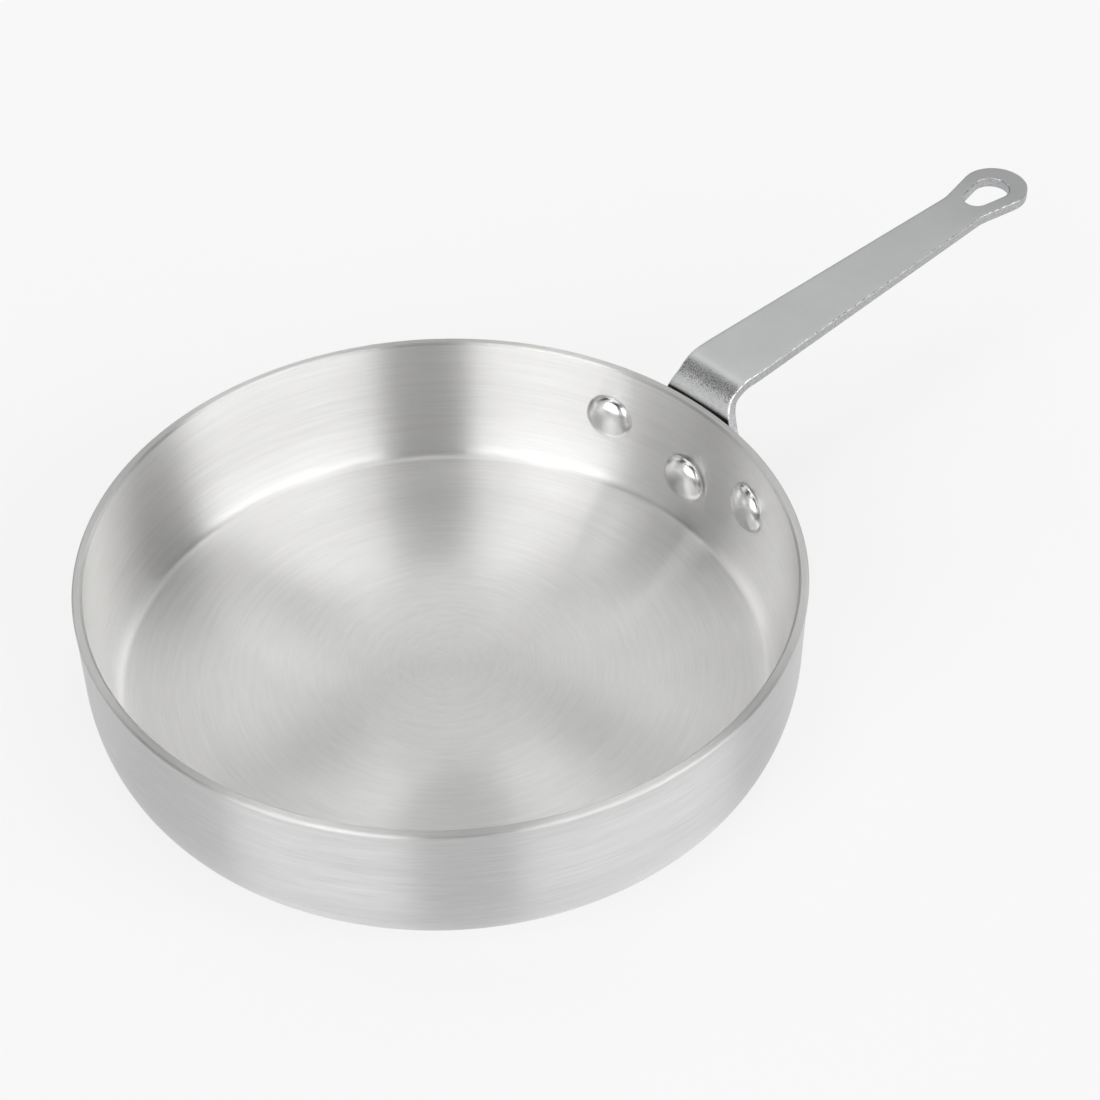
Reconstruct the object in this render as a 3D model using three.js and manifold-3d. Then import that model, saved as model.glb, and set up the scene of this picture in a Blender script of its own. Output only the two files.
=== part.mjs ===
// Saute pan: a spun aluminium pan with a bent steel strip handle, held by three solid rivets.
// Millimetres, +Z up. The origin is the centre of the base, and the handle points along +X.
import * as THREE from "three";
import { mergeVertices } from "three/addons/utils/BufferGeometryUtils.js";
import Module from "manifold-3d";

// Pan
const rimRadius = 120;
const panHeight = 52.8;
const wallThickness = 3.4;
const floorThickness = 4;
const outerCornerAcross = 10.8; // outer corner from base to wall, a quarter ellipse
const outerCornerUp = 24.3;
const innerCornerAcross = 9; // inner corner from floor to wall, a quarter ellipse
const innerCornerUp = 12;
const rimRound = 0.7; // rounding of the rim's two top edges

// Rivets
const rivetSpacing = 36.3; // from the centre rivet to each side rivet, measured round the flange
const headFloorGap = 7.3; // from the floor up to the centre rivet's head
const sideRivetRise = 10.3; // of the side rivets over the centre one
const shankRadius = 4;
const headRadius = 9.2; // domed head inside the pan
const headHeight = 4.6;
const tailRadius = 7; // formed head outside the flange
const tailHeight = 3;

// Handle, a flat pattern bent along its middle line
const stripThickness = 4;
const flangeMargin = 2.2; // strip left round each formed rivet head
const leanStart = 18; // depth below the rim where the neck begins to leave the wall
const neckLean = 1; // degrees
const neckRise = 10.2; // from the rim up to where the neck's and the strip's faces would meet
const bendRadius = 9.4; // inside of the bend
const stripRise = 2.4; // slope of the strip in degrees
const stripLength = 175.4; // from where those faces would meet to the tip of the eye
const neckWidth = 32; // where the neck grows out of the flange
const crookDepth = 3.6; // below the rim, to the middle of the hollow beside the neck
const crookRadius = 5;
const waistWidth = 25.5; // narrowest, in the bend
const waistRadius = 10; // concave side of the waist
const rootWidth = 25.8; // widest, just past the bend
const rootDistance = 5; // from the end of the bend
const rootRadius = 6;
const endWidth = 18.1; // narrowest, ahead of the eye
const endRadius = 14;
const endRun = 7.2; // from there to the eye's edge
const eyeRadius = 12.5;
const eyeRing = 5.8; // metal on each side of the hanging hole
const holeTailRadius = 4.9; // small end of the hole, towards the pan
const holeTailDistance = 9.2;
const holeSetback = 1.9; // from the eye's middle towards the pan

// Fits
const seatGap = 0.3; // between pieces that rest on each other
const shankClearance = 0.3; // round a rivet's shank

// Resolution of the facets
const panSegments = 84;
const panArcDivisions = 3;
const rivetSegments = 24;
const arcStep = 12; // degrees for each step of a round outline
const acrossSteps = 10; // columns across the strip
const widthStep = 6; // most that the strip's half width changes from one row to the next

const radians = THREE.MathUtils.degToRad;
const wasm = await Module();
wasm.setup();

const finishes = {
  aluminium: { color: 0xc9c8c4, roughness: 0.38, metalness: 1 },
  steel: { color: 0xb6b9b8, roughness: 0.45, metalness: 1 },
  rivet: { color: 0xd9dada, roughness: 0.16, metalness: 1 },
};

// A closed geometry as a manifold solid, with its shared vertices merged.
function solidFrom(geometry, matrix = new THREE.Matrix4()) {
  const bare = new THREE.BufferGeometry();
  bare.setAttribute("position", geometry.getAttribute("position").clone());
  bare.setIndex(geometry.index);
  const merged = mergeVertices(bare.applyMatrix4(matrix), 1e-4);
  return new wasm.Manifold(
    new wasm.Mesh({
      numProp: 3,
      vertProperties: new Float32Array(merged.attributes.position.array),
      triVerts: new Uint32Array(merged.index.array),
    }),
  );
}

// A named mesh of a manifold solid.
function meshFrom(name, solid, finish) {
  const made = solid.getMesh();
  const geometry = new THREE.BufferGeometry();
  geometry.setAttribute("position", new THREE.BufferAttribute(made.vertProperties, 3));
  geometry.setIndex(new THREE.BufferAttribute(made.triVerts, 1));
  geometry.computeVertexNormals();
  const mesh = new THREE.Mesh(geometry, new THREE.MeshStandardMaterial(finish));
  mesh.name = name;
  return mesh;
}

// The turn and place of something whose own +Y points outwards from the pan's axis.
function radialPlace(angle, reach, height) {
  const turn = new THREE.Matrix4().makeRotationZ(angle - Math.PI / 2);
  const place = new THREE.Vector3(reach * Math.cos(angle), reach * Math.sin(angle), height);
  return turn.setPosition(place);
}

// Outline that runs like a belt round a chain of circles [along, across, radius].
// A negative radius is a hollow in the outline, with its circle outside the material.
function beltPoints(circles, startNormal, endNormal) {
  const tangentNormals = circles.slice(1).map((next, i) => {
    const last = circles[i];
    const along = next[0] - last[0];
    const across = next[1] - last[1];
    const spread = Math.acos((last[2] - next[2]) / Math.hypot(along, across));
    return Math.atan2(across, along) + spread;
  });
  const normals = [startNormal, ...tangentNormals, endNormal];
  return circles.flatMap(([along, across, radius], i) => {
    const from = normals[i];
    const turn = normals[i + 1] - from;
    const steps = Math.max(1, Math.ceil(Math.abs(turn) / radians(arcStep)));
    return Array.from({ length: steps + 1 }, (_, k) => {
      const angle = from + (turn * k) / steps;
      return new THREE.Vector2(along + radius * Math.cos(angle), across + radius * Math.sin(angle));
    });
  });
}

// Rivet places: angle from the handle and height over the base.
const innerRadius = rimRadius - wallThickness;
const wrapRadius = rimRadius + seatGap;
const rivetAngle = rivetSpacing / wrapRadius;
const centreHeight = floorThickness + headFloorGap + headRadius;
const sideHeight = centreHeight + sideRivetRise;
const rivets = [
  { name: "rivet_left", angle: rivetAngle, height: sideHeight },
  { name: "rivet_centre", angle: 0, height: centreHeight },
  { name: "rivet_right", angle: -rivetAngle, height: sideHeight },
];

// Pan: one closed profile turned about the axis, then drilled for the rivets.

function panProfile() {
  const quarter = Math.PI / 2;
  const path = new THREE.Path();
  path.moveTo(0, 0);
  path.lineTo(rimRadius - outerCornerAcross, 0);
  path.absellipse(
    rimRadius - outerCornerAcross, outerCornerUp, outerCornerAcross, outerCornerUp, -quarter, 0,
  );
  path.lineTo(rimRadius, panHeight - rimRound);
  path.absarc(rimRadius - rimRound, panHeight - rimRound, rimRound, 0, quarter);
  path.lineTo(innerRadius + rimRound, panHeight);
  path.absarc(innerRadius + rimRound, panHeight - rimRound, rimRound, quarter, 2 * quarter);
  path.lineTo(innerRadius, floorThickness + innerCornerUp);
  path.absellipse(
    innerRadius - innerCornerAcross, floorThickness + innerCornerUp,
    innerCornerAcross, innerCornerUp, 0, -quarter, true,
  );
  path.lineTo(0, floorThickness);
  return path.getPoints(panArcDivisions);
}

// A drill that passes through wall and flange with room to spare.
function rivetDrill({ angle, height }) {
  const radius = shankRadius + shankClearance;
  const reach = 4 * (wallThickness + stripThickness);
  const bit = new THREE.CylinderGeometry(radius, radius, reach, rivetSegments);
  return solidFrom(bit, radialPlace(angle, rimRadius, height));
}

const upright = new THREE.Matrix4().makeRotationX(Math.PI / 2); // from the lathe's +Y to +Z
const drills = rivets.map(rivetDrill);
const panBlank = solidFrom(new THREE.LatheGeometry(panProfile(), panSegments), upright);
const pan = drills.reduce((body, drill) => body.subtract(drill), panBlank);

// Handle: the middle line of the strip's upper face, seen from the side as [out, up].
const bossRadius = tailRadius + flangeMargin;
const upperRadius = bendRadius + stripThickness;
const lean = radians(neckLean);
const rise = radians(stripRise);
const bendTurn = Math.PI / 2 - lean - rise;
const tangentLength = upperRadius * Math.tan(bendTurn / 2);
const leanLength = (leanStart + neckRise) / Math.cos(lean);
const footHeight = centreHeight - bossRadius;
const flangeLength = panHeight - leanStart - footHeight;
const bendStart = flangeLength + leanLength - tangentLength;
const bendEnd = bendStart + upperRadius * bendTurn;
const bendMiddle = (bendStart + bendEnd) / 2;
const handleLength = bendEnd + stripLength - tangentLength;

// Direction of that line, as its angle from upright, at a length along it from the flange's lower end.
function turnAt(length) {
  if (length <= flangeLength) return 0;
  if (length <= bendStart) return lean;
  return lean + Math.min(1, (length - bendStart) / (bendEnd - bendStart)) * bendTurn;
}

// Place of that line at a length along it.
function lineAt(length) {
  const foot = new THREE.Vector2(wrapRadius, footHeight);
  const ahead = (from, angle, run) =>
    new THREE.Vector2(from.x + run * Math.sin(angle), from.y + run * Math.cos(angle));
  if (length <= flangeLength) return ahead(foot, 0, length);
  const leanFoot = ahead(foot, 0, flangeLength);
  if (length <= bendStart) return ahead(leanFoot, lean, length - flangeLength);
  const bendFoot = ahead(leanFoot, lean, bendStart - flangeLength);
  const turned = turnAt(length);
  const bent = ahead(bendFoot, (lean + turned) / 2, 2 * upperRadius * Math.sin((turned - lean) / 2));
  return ahead(bent, turned, Math.max(0, length - bendEnd));
}

// The flange is rolled to the wall's curve, which fades out between leanStart and the middle of the bend.
function rollAt(length) {
  const fade = THREE.MathUtils.smoothstep(length, flangeLength, bendMiddle);
  return (1 - fade) / wrapRadius;
}

// A point of the strip: length along, across from the middle, depth under the upper face.
function stripPoint(length, across, depth) {
  const roll = rollAt(length);
  const bow = roll * across;
  const middle = lineAt(length);
  const turned = turnAt(length);
  const side = roll > 1e-9 ? Math.sin(bow) / roll : across;
  const sag = roll > 1e-9 ? (1 - Math.cos(bow)) / roll : 0;
  const sink = depth * Math.cos(bow) - sag; // along the strip's normal, away from the upper face
  const sideways = side + depth * Math.sin(bow);
  return new THREE.Vector3(
    middle.x + sink * Math.cos(turned),
    sideways,
    middle.y - sink * Math.sin(turned),
  );
}

// Half of the flat pattern: tongue, ear, neck, waist, root, the narrow end of the strip and the eye.
const earLength = bossRadius + sideRivetRise;
const rimLength = flangeLength + leanStart / Math.cos(lean);
const crookLength = rimLength - crookDepth;
const crook = Math.min(crookRadius, crookLength - earLength - bossRadius); // it fits above the ear
const rootLength = bendEnd + rootDistance;
const eyeLength = handleLength - eyeRadius;
const endLength = eyeLength - eyeRadius - endRun;
const halfPattern = beltPoints(
  [
    [bossRadius, 0, bossRadius],
    [earLength, rivetSpacing, bossRadius],
    [crookLength, neckWidth / 2 + crook, -crook],
    [bendMiddle, waistWidth / 2 + waistRadius, -waistRadius],
    [rootLength, rootWidth / 2 - rootRadius, rootRadius],
    [endLength, endWidth / 2 + endRadius, -endRadius],
    [eyeLength, 0, eyeRadius],
  ],
  Math.PI,
  0,
).slice(1, -1);

// Half width of the pattern at a length along it.
function halfWidthAt(length) {
  const after = Math.max(1, halfPattern.findIndex((point) => point.x >= length));
  const last = halfPattern[after - 1];
  const next = halfPattern[after];
  return THREE.MathUtils.mapLinear(length, last.x, next.x, last.y, next.y);
}

// Even steps from one length to another, both ends included.
function evenSteps(from, to, steps) {
  return Array.from({ length: steps + 1 }, (_, k) => from + ((to - from) * k) / steps);
}

// Rows across the strip: at every point of the pattern, between them where the width changes fast,
// and at even steps round the bend.
function stripRows() {
  const patternRows = halfPattern.slice(1).flatMap((point, i) => {
    const last = halfPattern[i];
    return evenSteps(last.x, point.x, Math.max(1, Math.ceil(Math.abs(point.y - last.y) / widthStep)));
  });
  const bendRows = evenSteps(bendStart, bendEnd, Math.ceil(bendTurn / radians(arcStep)));
  const rows = [...patternRows, flangeLength, ...bendRows];
  rows.sort((a, b) => a - b);
  return rows.filter((row, i) => i === 0 || row - rows[i - 1] > 1e-3);
}

// The strip as one closed shell: upper and lower faces on a grid, with walls round their edge.
function stripGeometry() {
  const rows = stripRows();
  const columns = acrossSteps + 1;
  const points = [0, stripThickness].flatMap((depth) =>
    rows.flatMap((row) =>
      Array.from({ length: columns }, (_, k) => {
        const across = halfWidthAt(row) * ((2 * k) / acrossSteps - 1);
        return stripPoint(row, across, depth);
      }),
    ),
  );
  const at = (layer, row, column) => (layer * rows.length + row) * columns + column;
  const faces = [];
  const quad = (a, b, c, d) => faces.push(a, b, c, a, c, d);
  for (let row = 0; row + 1 < rows.length; row += 1) {
    for (let column = 0; column < acrossSteps; column += 1) {
      const corners = [[row, column], [row, column + 1], [row + 1, column + 1], [row + 1, column]];
      const [a, b, c, d] = corners.map(([r, k]) => at(0, r, k));
      const [e, f, g, h] = corners.map(([r, k]) => at(1, r, k));
      quad(d, c, b, a);
      quad(e, f, g, h);
    }
    quad(at(0, row, 0), at(1, row, 0), at(1, row + 1, 0), at(0, row + 1, 0));
    const far = acrossSteps;
    quad(at(0, row + 1, far), at(1, row + 1, far), at(1, row, far), at(0, row, far));
  }
  const last = rows.length - 1;
  for (let column = 0; column < acrossSteps; column += 1) {
    quad(at(0, 0, column + 1), at(1, 0, column + 1), at(1, 0, column), at(0, 0, column));
    quad(at(0, last, column), at(1, last, column), at(1, last, column + 1), at(0, last, column + 1));
  }
  const geometry = new THREE.BufferGeometry();
  geometry.setFromPoints(points);
  geometry.setIndex(faces);
  return geometry;
}

// The hanging hole's cutter, square to the strip at the eye.
function eyeCutter() {
  const big = eyeLength - holeSetback;
  const tail = big - holeTailDistance;
  const circles = [[tail, 0, holeTailRadius], [big, 0, eyeRadius - eyeRing]];
  const half = beltPoints(circles, Math.PI, 0);
  const whole = [...half, ...half.slice(1, -1).reverse().map((p) => new THREE.Vector2(p.x, -p.y))];
  const outline = whole.map((p) => new THREE.Vector2(p.x - eyeLength, p.y));
  const depth = 3 * stripThickness;
  const geometry = new THREE.ExtrudeGeometry(new THREE.Shape(outline), { depth, bevelEnabled: false });
  const middle = lineAt(eyeLength);
  const place = new THREE.Matrix4()
    .makeTranslation(middle.x, 0, middle.y)
    .multiply(new THREE.Matrix4().makeRotationY(-rise))
    .multiply(new THREE.Matrix4().makeTranslation(0, 0, -2 * stripThickness));
  return solidFrom(geometry, place);
}

const stripBlank = solidFrom(stripGeometry()).subtract(eyeCutter());
const handle = drills.reduce((body, drill) => body.subtract(drill), stripBlank);

// Rivets: inner dome, shank and outer dome as one turned profile, along +Y from inside to outside.
const tailSeat = wrapRadius + stripThickness + seatGap;

// Radius of the pan's inner wall at a height over the floor.
function innerWallAt(height) {
  const fall = Math.max(0, 1 - height / innerCornerUp);
  return innerRadius - innerCornerAcross * (1 - Math.sqrt(1 - fall ** 2));
}

// A head's flat underside clears the wall's curve beside it and the corner below it.
function headSeatAt(height) {
  const beside = Math.sqrt(innerRadius ** 2 - headRadius ** 2);
  const below = innerWallAt(height - floorThickness - headRadius);
  return Math.min(beside, below) - seatGap;
}

// A low dome over a flat disc, as a spherical cap: points from its crown to its edge.
function capPoints(radius, height) {
  const sphere = (radius ** 2 + height ** 2) / (2 * height);
  const spread = Math.atan2(radius, sphere - height);
  const steps = Math.ceil(spread / radians(arcStep));
  return Array.from({ length: steps + 1 }, (_, k) => {
    const angle = (spread * k) / steps;
    return new THREE.Vector2(sphere * Math.sin(angle), sphere * Math.cos(angle) - sphere + height);
  });
}

function rivetProfile(headSeat) {
  const head = capPoints(headRadius, headHeight).map((p) => new THREE.Vector2(p.x, headSeat - p.y));
  const tail = capPoints(tailRadius, tailHeight).map((p) => new THREE.Vector2(p.x, tailSeat + p.y));
  const shank = [headSeat, tailSeat].map((reach) => new THREE.Vector2(shankRadius, reach));
  return [...head, ...shank, ...tail.reverse()];
}

const sautePan = new THREE.Group();
sautePan.add(meshFrom("pan_body", pan, finishes.aluminium));
sautePan.add(meshFrom("handle", handle, finishes.steel));
for (const { name, angle, height } of rivets) {
  const geometry = new THREE.LatheGeometry(rivetProfile(headSeatAt(height)), rivetSegments);
  const solid = solidFrom(geometry, radialPlace(angle, 0, height));
  sautePan.add(meshFrom(name, solid, finishes.rivet));
}

export default sautePan;
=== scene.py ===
# Saute pan: a spun aluminium pan, a bent steel strip handle and three polished rivets.
import math

import bpy
import numpy as np
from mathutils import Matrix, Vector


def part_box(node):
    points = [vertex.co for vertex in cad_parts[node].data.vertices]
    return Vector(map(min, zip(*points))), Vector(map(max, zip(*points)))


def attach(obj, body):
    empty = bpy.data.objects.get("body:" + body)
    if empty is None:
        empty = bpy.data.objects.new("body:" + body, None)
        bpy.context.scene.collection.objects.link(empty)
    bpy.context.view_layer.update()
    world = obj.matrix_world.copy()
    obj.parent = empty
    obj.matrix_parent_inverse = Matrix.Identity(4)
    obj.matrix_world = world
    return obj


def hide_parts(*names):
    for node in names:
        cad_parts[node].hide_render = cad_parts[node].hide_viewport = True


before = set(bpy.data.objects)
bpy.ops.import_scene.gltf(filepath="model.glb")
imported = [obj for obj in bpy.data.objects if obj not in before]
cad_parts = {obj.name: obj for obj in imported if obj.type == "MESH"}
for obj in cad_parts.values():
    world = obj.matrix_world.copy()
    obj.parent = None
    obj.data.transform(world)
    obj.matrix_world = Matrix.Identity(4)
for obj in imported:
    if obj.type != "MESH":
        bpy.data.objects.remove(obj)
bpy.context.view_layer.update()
mm = 0.001
print("frame loaded:", sorted(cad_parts))


# Camera, at the photograph's viewing angle

camera = {
    "place": (-0.3555, -0.4303, 0.5597),
    "bearing": -43.2,  # degrees round from looking along +Y
    "tilt": -42.1,
    "lens": 75.27,
    "farthest": 50,
}


def makeCamera():
    data = bpy.data.cameras.new("camera")
    data.lens = camera["lens"]
    data.clip_end = camera["farthest"]
    piece = bpy.data.objects.new("camera", data)
    piece.location = camera["place"]
    piece.rotation_euler = (math.radians(90 + camera["tilt"]), 0, math.radians(camera["bearing"]))
    bpy.context.scene.collection.objects.link(piece)
    bpy.context.scene.camera = piece


# Node helpers

# a socket takes either a link from another socket or a plain value
def feed(tree, socket, term):
    if isinstance(term, bpy.types.NodeSocket):
        tree.links.new(term, socket)
    else:
        socket.default_value = term


def addNode(tree, kind, inputs=None, **settings):
    node = tree.nodes.new(kind)
    for name, value in settings.items():
        setattr(node, name, value)
    for name, term in (inputs or {}).items():
        feed(tree, node.inputs[name], term)
    return node


def calc(tree, operation, *terms):
    return addNode(tree, "ShaderNodeMath", dict(enumerate(terms)), operation=operation).outputs[0]


def vectorCalc(tree, operation, *terms):
    node = addNode(tree, "ShaderNodeVectorMath", dict(enumerate(terms)), operation=operation)
    return node.outputs["Value" if operation == "LENGTH" else "Vector"]


# value from low..high to start..end, held at both ends
def remap(tree, value, low, high, start=0.0, end=1.0, kind="SMOOTHSTEP"):
    inputs = {"Value": value, "From Min": low, "From Max": high, "To Min": start, "To Max": end}
    return addNode(tree, "ShaderNodeMapRange", inputs, interpolation_type=kind).outputs["Result"]


# value that runs straight from point to point of a list of (place, value)
def path(tree, value, points):
    total = points[0][1]
    for (low, start), (high, end) in zip(points, points[1:]):
        total = calc(tree, "ADD", total, remap(tree, value, low, high, 0.0, end - start, "LINEAR"))
    return total


def mixColor(tree, share, first, second):
    node = addNode(tree, "ShaderNodeMix", data_type="RGBA", clamp_factor=True)
    feed(tree, node.inputs["Factor"], share)
    feed(tree, node.inputs[6], first)
    feed(tree, node.inputs[7], second)
    return node.outputs[2]


def newGroup(name, inputs, outputs):
    group = bpy.data.node_groups.new(name, "ShaderNodeTree")
    for label, default in inputs.items():
        socket = group.interface.new_socket(label, in_out="INPUT", socket_type="NodeSocketFloat")
        socket.default_value = default
    for label, kind in outputs.items():
        group.interface.new_socket(label, in_out="OUTPUT", socket_type="NodeSocket" + kind)
    return group, group.nodes.new("NodeGroupInput").outputs, group.nodes.new("NodeGroupOutput").inputs


def newMaterial(name):
    material = bpy.data.materials.new(name)
    material.use_nodes = True
    tree = material.node_tree
    return material, tree, tree.nodes["Principled BSDF"]


def grey(level):
    return (level, level, level, 1)


# Studio: a white floor, and soft boxes painted on the world all round

studio = {
    "room": 0.02,  # glow between the lights
    # azimuth from the camera's side, plus to the right, and elevation, in degrees, with the strength
    "lights": {
        "right box": {"turn": (21, 87), "height": (0, 43), "strength": 2.45},
        "left box": {"turn": (-57, -8), "height": (0, 47), "strength": 2.45},
        "front fill": {"turn": (-8, 21), "height": (0, 28), "strength": 0.6},
        "right wing": {"turn": (87, 135), "height": (0, 14), "strength": 1.1},
        "left wing": {"turn": (-80, -57), "height": (0, 58), "strength": 0.6},
        "left fill": {"turn": (-105, -80), "height": (0, 28), "strength": 0.4},
        "right rear": {"turn": (110, 160), "height": (14, 36), "strength": 0.55},
        "left rear": {"turn": (-130, -105), "height": (14, 43), "strength": 0.85},
        "right back": {"turn": (135, 200), "height": (28, 58), "strength": 0.9},
        "left back": {"turn": (-200, -130), "height": (28, 58), "strength": 0.9},
        "right top": {"turn": (52, 110), "height": (58, 74), "strength": 1.4},
        "left top": {"turn": (-80, -38), "height": (58, 74), "strength": 1.6},
        "right rear top": {"turn": (135, 160), "height": (58, 74), "strength": 2.8},
        "left rear top": {"turn": (-155, -130), "height": (58, 74), "strength": 2.8},
        "overhead": {"turn": (-200, 200), "height": (74, 100), "strength": 1.2},
    },
    "softness": 5.0,  # width of a light's edges, in degrees
    "floorColor": grey(0.86),
    "floorGlow": 0.75,  # share of plain white that the eye and the metal see
    "floorReach": 6.0,
}


# 1 between the two ends of span, in degrees, and 0 outside, over soft edges
def window(tree, value, span):
    low, high = (math.radians(end) for end in span)
    half = math.radians(studio["softness"]) / 2
    rise = remap(tree, value, low - half, low + half)
    fall = remap(tree, value, high - half, high + half, 1.0, 0.0)
    return calc(tree, "MULTIPLY", rise, fall)


def makeWorld():
    world = bpy.data.worlds.new("studio")
    bpy.context.scene.world = world
    world.use_nodes = True
    tree = world.node_tree
    direction = tree.nodes.new("ShaderNodeTexCoord").outputs["Generated"]
    turn = (0, 0, math.radians(-camera["bearing"]))
    seen = addNode(tree, "ShaderNodeVectorRotate", {"Vector": direction, "Rotation": turn},
                   rotation_type="EULER_XYZ").outputs[0]
    axis = addNode(tree, "ShaderNodeSeparateXYZ", {0: seen}).outputs
    azimuth = calc(tree, "ARCTAN2", axis["X"], calc(tree, "MULTIPLY", axis["Y"], -1.0))
    elevation = calc(tree, "ARCSINE", axis["Z"])
    total = studio["room"]
    for light in studio["lights"].values():
        across = window(tree, azimuth, light["turn"])
        upright = window(tree, elevation, light["height"])
        glow = calc(tree, "MULTIPLY", calc(tree, "MULTIPLY", across, upright), light["strength"])
        total = calc(tree, "ADD", total, glow)
    feed(tree, tree.nodes["Background"].inputs["Strength"], total)
    tree.nodes["Background"].inputs["Color"].default_value = grey(1)


# one square, matt to the light and partly plain white to the eye and to mirrored rays
def makeFloor():
    reach = studio["floorReach"]
    corners = [(-reach, -reach, 0), (reach, -reach, 0), (reach, reach, 0), (-reach, reach, 0)]
    mesh = bpy.data.meshes.new("floor")
    mesh.from_pydata(corners, [], [(0, 1, 2, 3)])
    piece = bpy.data.objects.new("floor", mesh)
    bpy.context.scene.collection.objects.link(piece)
    material, tree, shader = newMaterial("floorWhite")
    tree.nodes.remove(shader)
    ray = tree.nodes.new("ShaderNodeLightPath").outputs
    seen = calc(tree, "MAXIMUM", ray["Is Camera Ray"],
                calc(tree, "MAXIMUM", ray["Is Glossy Ray"], ray["Is Transmission Ray"]))
    matt = addNode(tree, "ShaderNodeBsdfDiffuse", {"Color": studio["floorColor"]}).outputs[0]
    white = addNode(tree, "ShaderNodeEmission", {"Color": grey(1), "Strength": 1.0}).outputs[0]
    share = calc(tree, "MULTIPLY", seen, studio["floorGlow"])
    both = addNode(tree, "ShaderNodeMixShader", {0: share, 1: matt, 2: white}).outputs[0]
    tree.links.new(both, tree.nodes["Material Output"].inputs["Surface"])
    mesh.materials.append(material)


# Mesh helpers

# quads of a grid of rows x columns points, numbered row by row
def gridFaces(rows, columns, closed=False):
    row = np.arange(rows if closed else rows - 1)[:, None]
    column = np.arange(columns - 1)[None, :]
    after = (row + 1) % rows
    corners = [row * columns + column, row * columns + column + 1,
               after * columns + column + 1, after * columns + column]
    return np.stack(corners, -1).reshape(-1, 4)


# corners in one place are joined, faces left with under three corners dropped, and all turned outwards
# points in millimetres; slots number each face's material; values are named numbers per point
def makePiece(name, points, faces, materials, slots=None, values=None):
    _, first, same = np.unique(np.round(points, 4), axis=0, return_index=True, return_inverse=True)
    points, faces = points[first], same.reshape(-1)[faces]
    a, b, c, d = (points[faces[:, k]] for k in range(4))
    if np.einsum("ij,ij->", a, np.cross(b, c) + np.cross(c, d)) < 0:  # six times the enclosed volume
        faces = faces[:, ::-1]
    apart = faces != np.roll(faces, 1, axis=1)
    whole = apart.sum(1) >= 3
    corners = faces[whole][apart[whole]]
    starts = np.concatenate([[0], np.cumsum(apart[whole].sum(1))[:-1]])
    mesh = bpy.data.meshes.new(name)
    mesh.vertices.add(len(points))
    mesh.vertices.foreach_set("co", (points * mm).astype(np.float32).ravel())
    mesh.loops.add(len(corners))
    mesh.loops.foreach_set("vertex_index", corners.astype(np.int32))
    mesh.polygons.add(len(starts))
    mesh.polygons.foreach_set("loop_start", starts.astype(np.int32))
    for material in materials:
        mesh.materials.append(material)
    if slots is not None:
        mesh.polygons.foreach_set("material_index", slots[whole].astype(np.int32))
    for label, numbers in (values or {}).items():
        attribute = mesh.attributes.new(label, "FLOAT", "POINT")
        attribute.data.foreach_set("value", numbers[first].astype(np.float32))
    mesh.update(calc_edges=True)
    mesh.shade_smooth()
    piece = bpy.data.objects.new(name, mesh)
    bpy.context.scene.collection.objects.link(piece)
    return piece


def dress(piece, node):
    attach(piece, "root")
    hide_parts(node)
    print(piece.name, len(piece.data.polygons), "faces")


# arc of an ellipse about (x, y), angles in degrees
def arc(x, y, across, up, start, end, steps):
    angle = np.radians(np.linspace(start, end, steps + 1))
    return np.stack([x + across * np.cos(angle), y + up * np.sin(angle)], 1)


# straight run whose points crowd towards both ends, to keep the shading flat beside a rounding
def line(start, end, steps):
    share = (1 - np.cos(np.linspace(0, np.pi, steps + 1)[:, None])) / 2
    return np.array(start) * (1 - share) + np.array(end) * share


def smoothstep(value, low, high):
    share = np.clip((value - low) / (high - low), 0, 1)
    return share * share * (3 - 2 * share)


# Pan

pan = {
    "rim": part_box("pan_body")[1][1] / mm,  # radius
    "height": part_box("pan_body")[1][2] / mm,
    "wall": 3.4,
    "lip": 0.25,  # the rim stands this far out over the wall
    "lipHeight": 2.6,
    "lipRise": 0.9,  # over which it swells out
    "floor": 4.0,
    "outerCorner": (10.8, 24.3),  # quarter ellipse, across and up
    "innerCorner": (8.0, 20.0),
    "outerRound": 0.9,
    "bevel": 0.75,  # inside the rim
    "bevelRound": 0.3,
    "segments": 288,
    # rough and lean are lists of (radius, value); the foot of the inside wall, from 108 to 112, is smoother
    # the looks' colours are painted light and shade on one spun aluminium: darker outside and on the rim,
    # lighter inside
    "looks": {
        "outside": {
            "dark": (0.585, 0.585, 0.585, 1), "light": (0.70, 0.70, 0.701, 1),
            "rough": [(0, 0.5), (100, 0.34)], "lean": [(0, 0.6)],
            "uneven": 0.03, "brushed": 1.0, "sway": 1.1, "swayReach": 80.0, "around": 8.0, "lines": 1500.0,
        },
        "rim": {
            "dark": (0.68, 0.678, 0.665, 1), "light": (0.80, 0.798, 0.785, 1),
            "rough": [(119.2, 0.40), (119.6, 0.43)], "lean": [(0, 0.3)],
            "uneven": 0.04, "brushed": 1.0, "sway": 0.0, "swayReach": 80.0, "around": 8.0, "lines": 2500.0,
        },
        "inside": {
            "dark": (0.83, 0.827, 0.818, 1), "light": (0.94, 0.937, 0.928, 1),
            "rough": [(0, 0.48), (72, 0.38), (104, 0.40), (108.5, 0.31), (111, 0.31), (113.5, 0.41),
                      (116.6, 0.38)],
            "lean": [(104, 0.6), (108.5, 0.25), (111.5, 0.25), (114, 0.5), (116, 0.6)],
            "uneven": 0.02, "brushed": 1.0, "sway": 1.05, "swayReach": 76.0, "around": 5.0, "lines": 1800.0,
        },
    },
    "fineShare": 0.6,  # of the fine lines in the tone, the rest being broad ones
}


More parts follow.
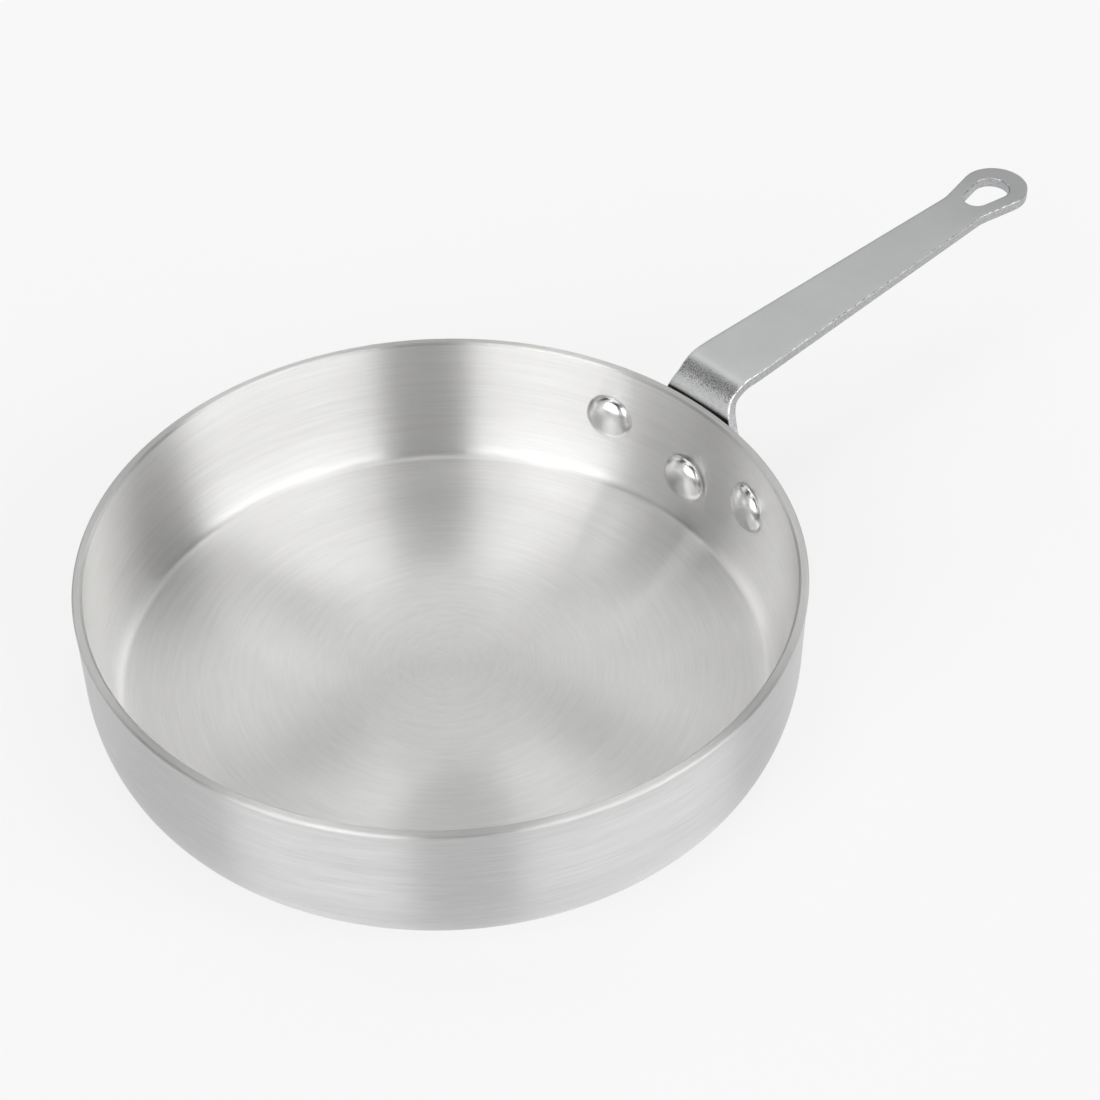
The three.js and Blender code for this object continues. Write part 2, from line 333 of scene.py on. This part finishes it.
# lines that run round the Z axis: noise that is fine along the profile and long round the pan
# Grain and Streak are tones; Normal leans by chance up and down the profile, as the walls of fine grooves do
def makeSpunGrain():
    group, given, out = newGroup("spunGrain", {"Around": 3.0, "Lines": 1500.0, "Lean": 0.5},
                                 {"Grain": "Float", "Streak": "Float", "Normal": "Vector"})
    place = group.nodes.new("ShaderNodeTexCoord").outputs["Object"]
    axis = addNode(group, "ShaderNodeSeparateXYZ", {0: place}).outputs
    level = vectorCalc(group, "MULTIPLY", place, (1, 1, 0))
    heading = vectorCalc(group, "NORMALIZE", level)
    turned = addNode(group, "ShaderNodeSeparateXYZ", {0: heading}).outputs
    profile = calc(group, "ADD", vectorCalc(group, "LENGTH", level), axis["Z"])

    def lineNoise(share, detail):
        long = calc(group, "MULTIPLY", given["Around"], share)
        fine = calc(group, "MULTIPLY", given["Lines"], share)
        spot = addNode(group, "ShaderNodeCombineXYZ", {
            "X": calc(group, "MULTIPLY", turned["X"], long),
            "Y": calc(group, "MULTIPLY", turned["Y"], long),
            "Z": calc(group, "MULTIPLY", profile, fine)}).outputs[0]
        inputs = {"Vector": spot, "Scale": 1.0, "Detail": detail, "Roughness": 0.6}
        return addNode(group, "ShaderNodeTexNoise", inputs).outputs["Fac"]

    for label, share, detail in (("Grain", 1.0, 3.0), ("Streak", 0.3, 2.0)):
        feed(group, out[label], remap(group, lineNoise(share, detail), 0.3, 0.7, kind="LINEAR"))
    facing = group.nodes.new("ShaderNodeNewGeometry").outputs["Normal"]
    ahead = vectorCalc(group, "CROSS_PRODUCT", (0, 0, 1), heading)
    alongProfile = vectorCalc(group, "CROSS_PRODUCT", facing, ahead)
    chance = addNode(group, "ShaderNodeTexWhiteNoise", {"Vector": place}).outputs["Value"]
    lean = calc(group, "MULTIPLY", calc(group, "SUBTRACT", chance, 0.5), given["Lean"])
    leant = addNode(group, "ShaderNodeVectorMath", {0: alongProfile, "Scale": lean}, operation="SCALE")
    tipped = vectorCalc(group, "ADD", facing, leant.outputs[0])
    feed(group, out["Normal"], vectorCalc(group, "NORMALIZE", tipped))
    return group


# brushed round the pan; nearer the middle than swayReach the brushing sways out of its round, by chance
def spunFinish(name, look, grain):
    material, tree, shader = newMaterial(name)
    lines = addNode(tree, "ShaderNodeGroup", node_tree=grain)
    away = addNode(tree, "ShaderNodeAttribute", attribute_name="radius").outputs["Fac"]
    for label, key in (("Around", "around"), ("Lines", "lines")):
        lines.inputs[label].default_value = look[key]
    feed(tree, lines.inputs["Lean"], path(tree, away, look["lean"]))
    fine, wide = lines.outputs["Grain"], lines.outputs["Streak"]
    both = calc(tree, "ADD", calc(tree, "MULTIPLY", fine, pan["fineShare"]),
                calc(tree, "MULTIPLY", wide, 1 - pan["fineShare"]))
    roughness = calc(tree, "ADD", path(tree, away, look["rough"]),
                     remap(tree, wide, 0, 1, -look["uneven"], look["uneven"], "LINEAR"))
    place = tree.nodes.new("ShaderNodeTexCoord").outputs["Object"]
    chance = addNode(tree, "ShaderNodeTexWhiteNoise", {"Vector": place, "W": 5.0},
                     noise_dimensions="4D").outputs["Value"]
    spread = remap(tree, away, 0.0, look["swayReach"], 2 * look["sway"], 0.0)
    sway = calc(tree, "MULTIPLY", calc(tree, "SUBTRACT", chance, 0.5), spread)
    ahead = vectorCalc(tree, "NORMALIZE", vectorCalc(tree, "CROSS_PRODUCT", (0, 0, 1), place))
    brushed = addNode(tree, "ShaderNodeVectorRotate", {"Vector": ahead, "Angle": sway},
                      rotation_type="Z_AXIS")
    shader.inputs["Metallic"].default_value = 1.0
    shader.inputs["Anisotropic"].default_value = look["brushed"]
    shader.inputs["Anisotropic Rotation"].default_value = 0.25
    feed(tree, shader.inputs["Base Color"], mixColor(tree, both, look["dark"], look["light"]))
    feed(tree, shader.inputs["Roughness"], roughness)
    feed(tree, shader.inputs["Normal"], lines.outputs["Normal"])
    feed(tree, shader.inputs["Tangent"], brushed.outputs[0])
    return material


# profile as radius and height, from the middle of the base round the outside to the middle of the floor
def panProfile():
    rim, top, lip, floor = pan["rim"], pan["height"], pan["lip"], pan["floor"]
    across, up = pan["outerCorner"]
    innerAcross, innerUp = pan["innerCorner"]
    outerRound, bevelRound = pan["outerRound"], pan["bevelRound"]
    tangent = pan["bevel"] + bevelRound * math.tan(math.pi / 8)
    wall = rim - lip
    inside = rim - pan["wall"]
    lipFoot = top - pan["lipHeight"]
    lipTop = lipFoot + pan["lipRise"]
    swell = (1 - np.cos(np.linspace(0, np.pi, 7))) / 2
    outside = [
        line((0, 0), (wall - across, 0), 16),
        arc(wall - across, up, across, up, -90, 0, 30)[1:],
        line((wall, up), (wall, lipFoot), 14)[1:],
        np.stack([wall + lip * swell, np.linspace(lipFoot, lipTop, 7)], 1)[1:],
        line((rim, lipTop), (rim, top - outerRound), 4)[1:],
    ]
    edge = [
        arc(rim - outerRound, top - outerRound, outerRound, outerRound, 0, 90, 8)[1:],
        line((rim - outerRound, top), (inside + tangent, top), 8)[1:],
        arc(inside + tangent, top - bevelRound, bevelRound, bevelRound, 90, 135, 4)[1:],
        arc(inside + bevelRound, top - tangent, bevelRound, bevelRound, 135, 180, 4),
    ]
    inward = [
        line((inside, top - tangent), (inside, floor + innerUp), 18)[1:],
        arc(inside - innerAcross, floor + innerUp, innerAcross, innerUp, 0, -90, 28)[1:],
        line((inside - innerAcross, floor), (0, floor), 24)[1:],
    ]
    return [np.concatenate(group) for group in (outside, edge, inward)]


# surface of revolution: (radius cos t, radius sin t, height)
def makePan(grain):
    parts = panProfile()
    radius, height = np.concatenate(parts).T
    angle = np.linspace(0, 2 * np.pi, pan["segments"], endpoint=False)[:, None]
    points = np.stack([radius * np.cos(angle), radius * np.sin(angle), height + 0 * angle], -1).reshape(-1, 3)
    faces = gridFaces(len(angle), len(radius), closed=True)
    strips = np.repeat([0, 1, 2], [len(part) for part in parts])[1:]
    materials = [spunFinish("pan" + part.title(), look, grain) for part, look in pan["looks"].items()]
    values = {"radius": np.hypot(points[:, 0], points[:, 1])}
    piece = makePiece("panBody", points, faces, materials, np.tile(strips, len(angle)), values)
    dress(piece, "pan_body")


# Handle

handle = {
    "thickness": 4.0,
    "seat": 0.3,  # gap to the pan's wall
    "foot": 11.3,  # height of the flange's lower end
    "leanStart": 18.0,  # under the rim
    "lean": 1.0,  # degrees
    "neckRise": 10.2,
    "bendRadius": 9.4,
    "rise": 2.4,  # degrees
    "stripLength": 175.4,
    "boss": 9.2,
    "earAcross": 36.3,
    "earRise": 10.3,
    "neckWidth": 32.0,
    "crookDepth": 3.6,
    "crookRadius": 5.0,
    "waistWidth": 25.5,
    "waistRadius": 10.0,
    "rootWidth": 25.8,
    "rootDistance": 5.0,
    "rootRadius": 6.0,
    "endWidth": 18.1,
    "endRadius": 14.0,
    "endRun": 7.2,
    "eyeRadius": 12.5,
    "holeRadius": 6.7,
    "holeSetback": 1.9,
    "tailRadius": 4.9,
    "tailDistance": 9.2,
    "edge": 0.4,  # rounding of the strip's edges
    "rowStep": 1.2,
    "columns": 12,  # across each half
    "fineStep": (0.5, 0.2),  # degrees and millimetres between the points that the outlines are read from
    "outerTurn": 6,  # degrees between rows round the outline's curves
    "holeTurn": 9,
}
wrap = pan["rim"] + handle["seat"]
upper = handle["bendRadius"] + handle["thickness"]
lean, rise = math.radians(handle["lean"]), math.radians(handle["rise"])
bendTurn = math.pi / 2 - lean - rise
tangentRun = upper * math.tan(bendTurn / 2)
# distances along the upper face from the flange's lower end
flangeEnd = pan["height"] - handle["leanStart"] - handle["foot"]
rimAt = flangeEnd + handle["leanStart"] / math.cos(lean)
bendStart = flangeEnd + (handle["leanStart"] + handle["neckRise"]) / math.cos(lean) - tangentRun
bendEnd = bendStart + upper * bendTurn
bendMiddle = (bendStart + bendEnd) / 2
stripEnd = bendEnd + handle["stripLength"] - tangentRun
eyeAt = stripEnd - handle["eyeRadius"]


# flat pattern to space: along the bent middle line, across it with the wall's roll, down from the upper face
def stripPoints(along, across, depth):
    bent = np.clip((along - bendStart) / upper, 0, bendTurn) + lean
    turned = np.where(along > flangeEnd, bent, 0)
    leanRun = np.clip(along - flangeEnd, 0, bendStart - flangeEnd)
    flat = np.maximum(0, along - bendEnd)
    x = wrap + math.sin(lean) * leanRun + upper * (math.cos(lean) - np.cos(bent)) + np.sin(bent) * flat
    z = (handle["foot"] + np.minimum(along, flangeEnd) + math.cos(lean) * leanRun
         + upper * (np.sin(bent) - math.sin(lean)) + np.cos(bent) * flat)
    roll = np.maximum(1e-7, (1 - smoothstep(along, flangeEnd, bendMiddle)) / wrap)
    bow = roll * across
    sink = depth * np.cos(bow) - (1 - np.cos(bow)) / roll
    sideways = np.sin(bow) / roll + depth * np.sin(bow)
    return np.stack([x + sink * np.cos(turned), sideways, z - sink * np.sin(turned)], -1)


# outline that runs like a belt round circles (along, across, radius); a negative radius is a hollow
# gives along, across and the angle of the outward normal
def beltOutline(circles, degrees, run):
    circles = np.array(circles, float)
    step = np.diff(circles[:, :2], axis=0)
    spread = np.arccos(-np.diff(circles[:, 2]) / np.hypot(*step.T))
    tangent = np.arctan2(step[:, 1], step[:, 0]) + spread
    normals = np.concatenate([[math.pi], tangent, [0]])
    rows = []
    for (along, across, radius), start, end in zip(circles, normals[:-1], normals[1:]):
        count = max(1, math.ceil(abs(end - start) / math.radians(degrees)))
        angle = np.linspace(start, end, count + 1)
        arcRow = np.stack([along + radius * np.cos(angle), across + radius * np.sin(angle), angle], 1)
        if rows:
            gap = np.hypot(*(arcRow[0, :2] - rows[-1][-1, :2]))
            rows.append(np.linspace(rows[-1][-1], arcRow[0], max(1, math.ceil(gap / run)) + 1)[1:-1])
        rows.append(arcRow)
    return np.concatenate(rows)


def handleOutline(degrees, run):
    boss, eye = handle["boss"], handle["eyeRadius"]
    crook, waist = handle["crookRadius"], handle["waistRadius"]
    root, end = handle["rootRadius"], handle["endRadius"]
    circles = [
        (boss, 0, boss),
        (boss + handle["earRise"], handle["earAcross"], boss),
        (rimAt - handle["crookDepth"], handle["neckWidth"] / 2 + crook, -crook),
        (bendMiddle, handle["waistWidth"] / 2 + waist, -waist),
        (bendEnd + handle["rootDistance"], handle["rootWidth"] / 2 - root, root),
        (eyeAt - eye - handle["endRun"], handle["endWidth"] / 2 + end, -end),
        (eyeAt, 0, eye),
    ]
    return beltOutline(circles, degrees, run)


def holeOutline(degrees, run):
    big = eyeAt - handle["holeSetback"]
    circles = [(big - handle["tailDistance"], 0, handle["tailRadius"]), (big, 0, handle["holeRadius"])]
    return beltOutline(circles, degrees, run)


# one half of the strip: upper and lower faces between the hole or the middle and the edge, and the rounded
# edges as quarter circles down the side; then its mirror image
def makeHandle():
    fine, hole = handleOutline(*handle["fineStep"]), holeOutline(*handle["fineStep"])
    coarse = handleOutline(handle["outerTurn"], handle["rowStep"])
    coarseHole = holeOutline(handle["holeTurn"], handle["rowStep"])
    holeStart, holeEnd = hole[0, 0], hole[-1, 0]
    edge, thick = handle["edge"], handle["thickness"]
    near = (coarse[:, 0] > holeStart - 3 * edge) & (coarse[:, 0] < holeEnd + 3 * edge)
    rows = np.unique(np.concatenate([coarse[~near, 0], coarseHole[:, 0]]).round(3))
    outer = np.stack([np.interp(rows, fine[:, 0], fine[:, k]) for k in (0, 1, 2)], 1)
    pierced = (rows >= holeStart - 1e-3) & (rows <= holeEnd + 1e-3)
    inner = np.stack([np.interp(rows, hole[:, 0], hole[:, k]) for k in (0, 1, 2)], 1)

    def edgePoints(curve, inset, sign):
        return np.stack([curve[:, 0] - sign * inset * np.cos(curve[:, 2]),
                         curve[:, 1] - sign * inset * np.sin(curve[:, 2])], -1)

    rim = edgePoints(outer, edge, 1)
    lip = np.where(pierced[:, None], edgePoints(inner, edge, -1), rim * (1, 0))
    share = np.linspace(0, 1, handle["columns"] + 1)[None, :, None]
    face = lip[:, None] * (1 - share) + rim[:, None] * share
    angle = np.radians(np.linspace(0, 90, 5))
    corner = np.stack([edge * (1 - np.sin(angle)), edge * (1 - np.cos(angle))], 1)
    side = np.concatenate([corner, np.stack([corner[::-1, 0], thick - corner[::-1, 1]], 1)])
    band = np.stack([edgePoints(outer, inset, 1) for inset in side[:, 0]], 1)
    holeBand = np.stack([edgePoints(inner[pierced], inset, -1) for inset in side[:, 0]], 1)
    bandShape, holeShape = band.shape[:2], holeBand.shape[:2]
    worn = np.tile(np.sin(2 * angle) ** 2, 2)
    plain = np.zeros(face.shape[:2])
    # each sheet's flat points, their depth under the upper face and how much of an edge they are
    sheets = [
        (face, plain, plain),
        (band, np.broadcast_to(side[:, 1], bandShape), np.broadcast_to(worn, bandShape)),
        (face[:, ::-1], plain + thick, plain),
        (holeBand[:, ::-1], np.broadcast_to(side[::-1, 1], holeShape), np.broadcast_to(worn, holeShape)),
    ]
    points, faces, flats, start = [], [], [], 0
    for mirror in (1, -1):
        for flat, depth, wear in sheets:
            count, columns = flat.shape[:2]
            points.append(stripPoints(flat[..., 0], mirror * flat[..., 1], depth).reshape(-1, 3))
            flats.append(np.stack([flat[..., 0], depth, wear], -1).reshape(-1, 3))
            grid = gridFaces(count, columns) + start
            faces.append(grid if mirror == 1 else grid[:, ::-1])
            start += count * columns
    values = dict(zip(("along", "depth", "edge"), np.concatenate(flats).T))
    points, faces = np.concatenate(points), np.concatenate(faces)
    piece = makePiece("handleStrip", points, faces, [steelFinish()], values=values)
    dress(piece, "handle")


# distances along the strip are those of the attribute along, in millimetres; scales are noise per metre
steel = {
    "dark": (0.57, 0.584, 0.579, 1),
    "light": (0.637, 0.653, 0.646, 1),
    "paintedLightAlong": [(45.5, 1.26), (54, 1.02), (120, 0.98), (185, 0.90), (207, 0.76)],  # painted light and shade along the strip: lighter on the flange and neck, darker towards the eye
    "sideDark": (0.37, 0.37, 0.38, 1),
    "sideLight": (0.56, 0.56, 0.578, 1),
    "cloudScale": 60.0,
    "fineScale": 2600.0,
    "sideScale": 1500.0,
    "bendBand": (46.6, 52.5),  # stretched, grainy skin on the bend, along the strip
    "crackle": 2300.0,
    "crackleDark": grey(0.05),
    "crackleLight": grey(0.95),
    "crackleEnds": (0.34, 0.53),  # noise that gives the dark and the light
    "grainShare": 0.85,
    "neckShare": 0.22,  # of the same grain below the band
    "halo": 0.15,  # darkening past the band
    "haloReach": 6.0,
    "haloColor": grey(0.2),
    "shade": (0.5, 1.6),  # height of the painted shade over the rim, on the left and on the right
    "shadePower": 1.3,
    "shadeColor": grey(0.12),
    "nickScale": 800.0,
    # colour of the painted glints on the nicked edges
    "nickGlint": grey(0.97),
    "nickGlintEnds": (0.54, 0.64),  # noise over which a nick gets a painted glint
    # colour of the painted shade on the nicked edges
    "nickShade": grey(0.08),
    "nickShadeEnds": (0.36, 0.44),  # and painted shade, below it
    "nickShadeShare": 0.8,
    "bendGlint": (0.12, 12.0),  # more painted glints on the nicks round the bend, and how far past it
    "rough": 0.36,
    "roughFine": 0.06,
    "roughWorn": 0.1,
    "bump": 0.3,
    "bumpDepth": 0.1,
    "bumpFine": 0.1,
}


def steelFinish():
    material, tree, shader = newMaterial("handleSteel")
    place = tree.nodes.new("ShaderNodeTexCoord").outputs["Object"]
    along, depth, edge = (addNode(tree, "ShaderNodeAttribute", attribute_name=name).outputs["Fac"]
                          for name in ("along", "depth", "edge"))

    def times(first, second):
        return calc(tree, "MULTIPLY", first, second)

    def noise(scale, detail):
        inputs = {"Vector": place, "Scale": scale, "Detail": detail}
        return addNode(tree, "ShaderNodeTexNoise", inputs).outputs["Fac"]

    def speckle(scale, detail=2.0, ends=(0.3, 0.7)):
        return remap(tree, noise(scale, detail), *ends, kind="LINEAR")

    # satin faces and sheared sides
    onFace = remap(tree, depth, 0.1, 0.5, 1.0, 0.0)
    cloud, fine = speckle(steel["cloudScale"]), speckle(steel["fineScale"])
    mottle = calc(tree, "ADD", times(cloud, 0.5), times(fine, 0.5))
    plain = mixColor(tree, mottle, steel["dark"], steel["light"])
    # painted light and shade along the strip, lighter on the neck and darker towards the eye
    plain = vectorCalc(tree, "MULTIPLY", plain, path(tree, along, steel["paintedLightAlong"]))
    sheared = mixColor(tree, speckle(steel["sideScale"]), steel["sideDark"], steel["sideLight"])
    color = mixColor(tree, onFace, sheared, plain)

    # grainy band on the bend, a darker stretch past it and some of the grain on the neck
    low, high = steel["bendBand"]
    start = remap(tree, along, low - 1, low + 1)
    band = times(times(start, remap(tree, along, high - 2, high + 3, 1.0, 0.0)), onFace)
    halo = times(remap(tree, along, low, high), remap(tree, along, high, high + steel["haloReach"], 1.0, 0.0))
    color = mixColor(tree, times(times(halo, onFace), steel["halo"]), color, steel["haloColor"])
    salt = speckle(steel["crackle"], 1.0, steel["crackleEnds"])
    grain = mixColor(tree, salt, steel["crackleDark"], steel["crackleLight"])
    color = mixColor(tree, times(band, steel["grainShare"]), color, grain)
    neck = remap(tree, along, low - 1, low + 1, steel["neckShare"], 0.0)
    color = mixColor(tree, times(neck, onFace), color, grain)

    # shade just over the rim, higher towards the right
    sideways = addNode(tree, "ShaderNodeSeparateXYZ", {0: place}).outputs["Y"]
    half = handle["neckWidth"] / 2 * mm
    reach = remap(tree, sideways, -half, half, steel["shade"][1], steel["shade"][0], "LINEAR")
    over = calc(tree, "DIVIDE", calc(tree, "SUBTRACT", along, rimAt - 0.5), reach)
    shade = times(remap(tree, over, 0.0, 1.0, 1.0, 0.0, "LINEAR"), onFace)
    color = mixColor(tree, calc(tree, "POWER", shade, steel["shadePower"]), color, steel["shadeColor"])

    # painted glints and painted shade on the nicked edges, more glints round the bend
    nick = noise(steel["nickScale"], 2.0)
    more, past = steel["bendGlint"]
    shifted = calc(tree, "ADD", nick, remap(tree, along, bendEnd, bendEnd + past, more, 0.0))
    glint = times(remap(tree, shifted, *steel["nickGlintEnds"]), edge)
    glint = times(glint, remap(tree, along, low - 2, low + 2))
    nickShadeMask = times(remap(tree, nick, *steel["nickShadeEnds"], 1.0, 0.0), edge)
    color = mixColor(tree, glint, color, steel["nickGlint"])
    color = mixColor(tree, times(nickShadeMask, steel["nickShadeShare"]), color, steel["nickShade"])

    roughness = calc(tree, "ADD", steel["rough"], times(fine, steel["roughFine"]))
    worn = calc(tree, "MAXIMUM", band, edge)
    roughness = calc(tree, "SUBTRACT", roughness, times(worn, steel["roughWorn"]))
    height = calc(tree, "ADD", times(fine, steel["bumpFine"]), times(salt, band))
    inputs = {"Height": height, "Strength": steel["bump"], "Distance": steel["bumpDepth"] * mm}
    bump = addNode(tree, "ShaderNodeBump", inputs)
    shader.inputs["Metallic"].default_value = 1.0
    feed(tree, shader.inputs["Base Color"], color)
    feed(tree, shader.inputs["Roughness"], roughness)
    feed(tree, shader.inputs["Normal"], bump.outputs["Normal"])
    return material


# Rivets

rivet = {
    "sides": {"rivet_left": 1, "rivet_centre": 0, "rivet_right": -1},  # of the handle
    "names": {"rivet_left": "rivetLeft", "rivet_centre": "rivetCentre", "rivet_right": "rivetRight"},
    "turn": handle["earAcross"] / wrap,
    "centreHeight": handle["foot"] + handle["boss"],
    "sideRise": handle["earRise"],
    "head": (9.2, 4.6),  # radius and height of the dome inside
    "tail": (7.0, 3.0),  # and of the one outside
    "shank": 4.0,
    "rings": 32,  # on a dome
    "segments": 96,
    "dark": grey(0.74),
    "light": grey(0.86),
    "rough": (0.20, 0.26),
    "cloudScale": 400.0,
}


# dome as half an ellipsoid: (radius sin t, height cos t) over its seat, from the crown to the seat
def domeProfile(radius, height):
    angle = np.linspace(0, math.pi / 2, rivet["rings"] + 1)
    return np.stack([radius * np.sin(angle), height * np.cos(angle)], 1)


# radius of the pan's inner wall at a height, with its rounded foot
def innerWall(height):
    across, up = pan["innerCorner"]
    share = np.clip((pan["floor"] + up - height) / up, 0, 1)
    return pan["rim"] - pan["wall"] - across * (1 - np.sqrt(1 - share ** 2))


# head, shank and tail turned about the rivet's axis: a grid of (reach, radius cos t, radius sin t), then
# turned round the pan and lifted; the head sinks a little into the wall
def makeRivet(node, side, polish):
    turn = side * rivet["turn"]
    height = rivet["centreHeight"] + (rivet["sideRise"] if side else 0)
    head, tail = domeProfile(*rivet["head"]), domeProfile(*rivet["tail"])[::-1]
    angle = np.linspace(0, 2 * np.pi, rivet["segments"], endpoint=False)[:, None]
    outside = wrap + handle["thickness"]
    profile = np.concatenate([head[:, 0], [rivet["shank"]] * 2, tail[:, 0]])
    y, z = profile * np.cos(angle), profile * np.sin(angle)
    wall = np.sqrt(innerWall(height + z) ** 2 - y ** 2)
    foot = wall[:, len(head) - 1]
    seat = (np.min(foot) + np.mean(foot)) / 2
    inward = np.where(head[:, 1] > 0, seat - head[:, 1], wall[:, :len(head)])
    flange = np.sqrt(outside ** 2 - y[:, -len(tail):] ** 2)
    outward = np.where(tail[:, 1] > 0, outside + tail[:, 1], flange)
    shank = np.broadcast_to([seat, outside], (len(angle), 2))
    reach = np.concatenate([inward, shank, outward], 1)
    c, s = math.cos(turn), math.sin(turn)
    points = np.stack([reach * c - y * s, reach * s + y * c, z + height], -1).reshape(-1, 3)
    faces = gridFaces(len(angle), len(profile), closed=True)
    piece = makePiece(rivet["names"][node], points, faces, [polish])
    dress(piece, node)


def rivetFinish():
    material, tree, shader = newMaterial("rivetPolish")
    place = tree.nodes.new("ShaderNodeTexCoord").outputs["Object"]
    inputs = {"Vector": place, "Scale": rivet["cloudScale"], "Detail": 4.0, "Roughness": 0.6}
    cloud = addNode(tree, "ShaderNodeTexNoise", inputs).outputs["Fac"]
    shader.inputs["Metallic"].default_value = 1.0
    feed(tree, shader.inputs["Base Color"], mixColor(tree, cloud, rivet["dark"], rivet["light"]))
    feed(tree, shader.inputs["Roughness"], remap(tree, cloud, 0.3, 0.7, *rivet["rough"], "LINEAR"))
    return material


makeCamera()
makeWorld()
makeFloor()
print("camera, world and floor made")
makePan(makeSpunGrain())
makeHandle()
polish = rivetFinish()
for node, side in rivet["sides"].items():
    makeRivet(node, side, polish)

bpy.context.scene.view_settings.view_transform = "Standard"
